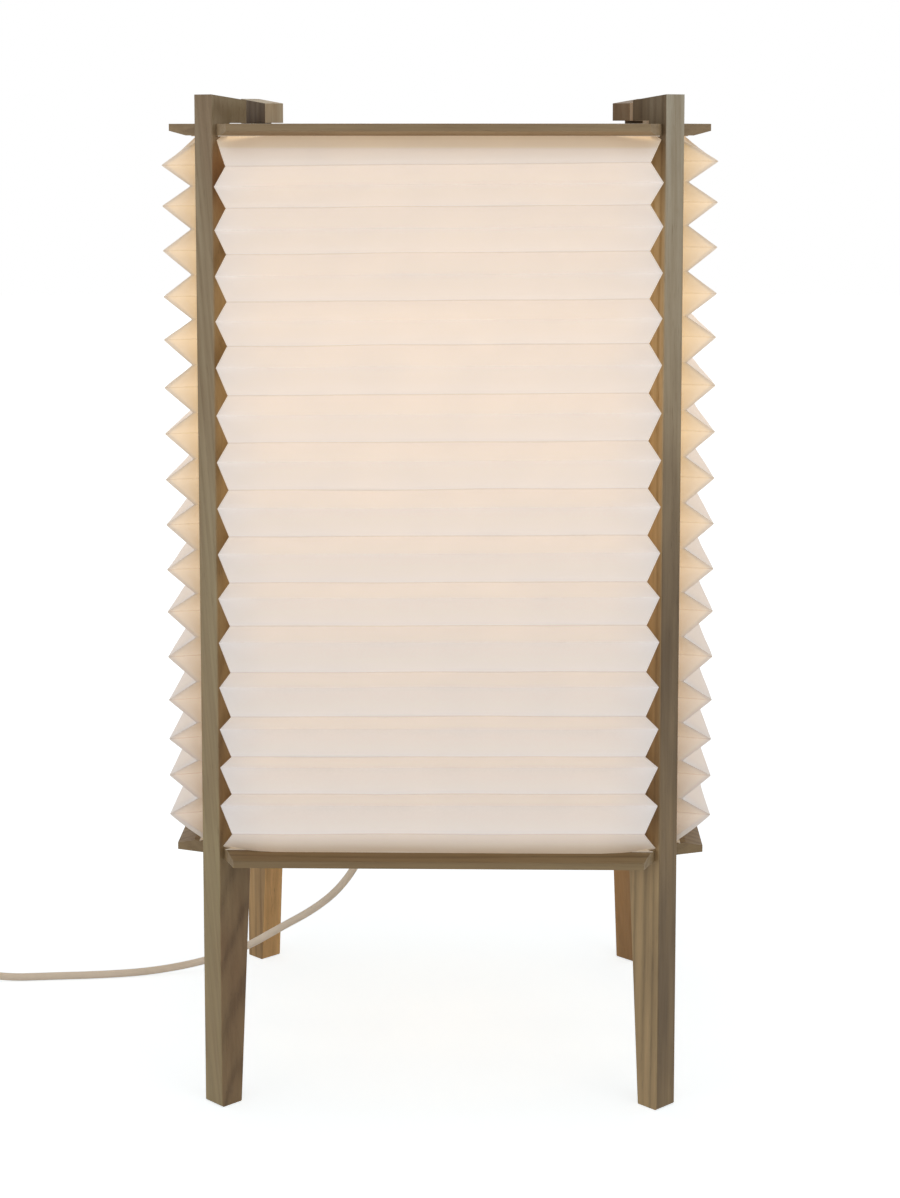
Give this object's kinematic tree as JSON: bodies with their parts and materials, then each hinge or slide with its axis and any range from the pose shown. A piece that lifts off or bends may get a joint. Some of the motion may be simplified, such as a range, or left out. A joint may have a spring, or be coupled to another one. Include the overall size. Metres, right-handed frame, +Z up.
{
  "type": "pleated paper table lamp",
  "caption": "Square pleated paper shade hung between two oak plates on diagonal board legs, with a bulb on a stem and a corded rocker switch.",
  "frame": {"origin": "on the floor, midway between the four feet", "axes": "+Z up along the lamp's axis, -Y towards the side seen in the picture, +X to that side's right, the cord leaving towards -X"},
  "size_m": [0.6968, 0.3766, 0.7],
  "materials": {
    "oak": "matt oiled",
    "paper": "matt",
    "zinc_steel": "satin",
    "white_plastic": "satin",
    "beige_plastic": "satin",
    "rocker_plastic": "satin",
    "soft_beige": "matt",
    "cord_jacket": "satin",
    "core_insulation": "matt",
    "insulator": "matt",
    "brass": "satin",
    "nickel": "polished",
    "opal_glass": "frosted",
    "circuit_board": "matt"
  },
  "bodies": {
    "lamp": {"bottom_plate": "oak", "bridge_screws": "zinc_steel", "centre_contact": "brass", "cord_boot": "soft_beige", "cord_coil": "cord_jacket", "cord_hub": "beige_plastic", "core_wires": "core_insulation", "holder_cap": "white_plastic", "holder_insert": "insulator", "holder_screw_shell": "brass", "holder_shell": "white_plastic", "lamp_bridge": "zinc_steel", "link_cord": "cord_jacket", "pleated_shade": "paper", "plug_body": "beige_plastic", "plug_boot": "soft_beige", "plug_pins": "nickel", "post_front_left": "oak", "post_front_right": "oak", "post_rear_left": "oak", "post_rear_right": "oak", "rocker_pin": "zinc_steel", "shade_glue_flaps": "paper", "stem_nuts": "zinc_steel", "stem_tube": "zinc_steel", "stem_washers": "zinc_steel", "supply_cord": "cord_jacket", "switch_base": "beige_plastic", "switch_contacts": "brass", "switch_cover": "beige_plastic", "switch_screws": "zinc_steel", "tail_cord": "cord_jacket", "terminal_screws": "brass", "top_plate": "oak"},
    "rocker": {"switch_rocker": "rocker_plastic"},
    "bulb_tip": {"bulb_contact": "nickel"},
    "bulb": {"bulb_cap": "nickel", "bulb_insulator": "insulator", "bulb_collar": "white_plastic", "bulb_globe": "opal_glass", "led_board": "circuit_board", "driver_board": "circuit_board"}
  },
  "joints": [
    {"name": "rocker_tilt", "type": "hinge", "parent": "lamp", "child": "rocker", "pos_m": [-0.43, 0.082, 0.014], "axis": [0, 1, 0], "range_deg": [0, 16]},
    {"name": "bulb_lift", "type": "slide", "parent": "lamp", "child": "bulb_tip", "axis": [0, 0, 1], "range_m": [0, 0.0254]},
    {"name": "bulb_turn", "type": "hinge", "parent": "bulb_tip", "child": "bulb", "pos_m": [0, 0, 0.43], "axis": [0, 0, 1], "range_deg": [0, 2520]}
  ],
  "couplings": [
    {"joint": "bulb_lift", "follows": "bulb_turn", "m_per_rad": 0.000573}
  ]
}
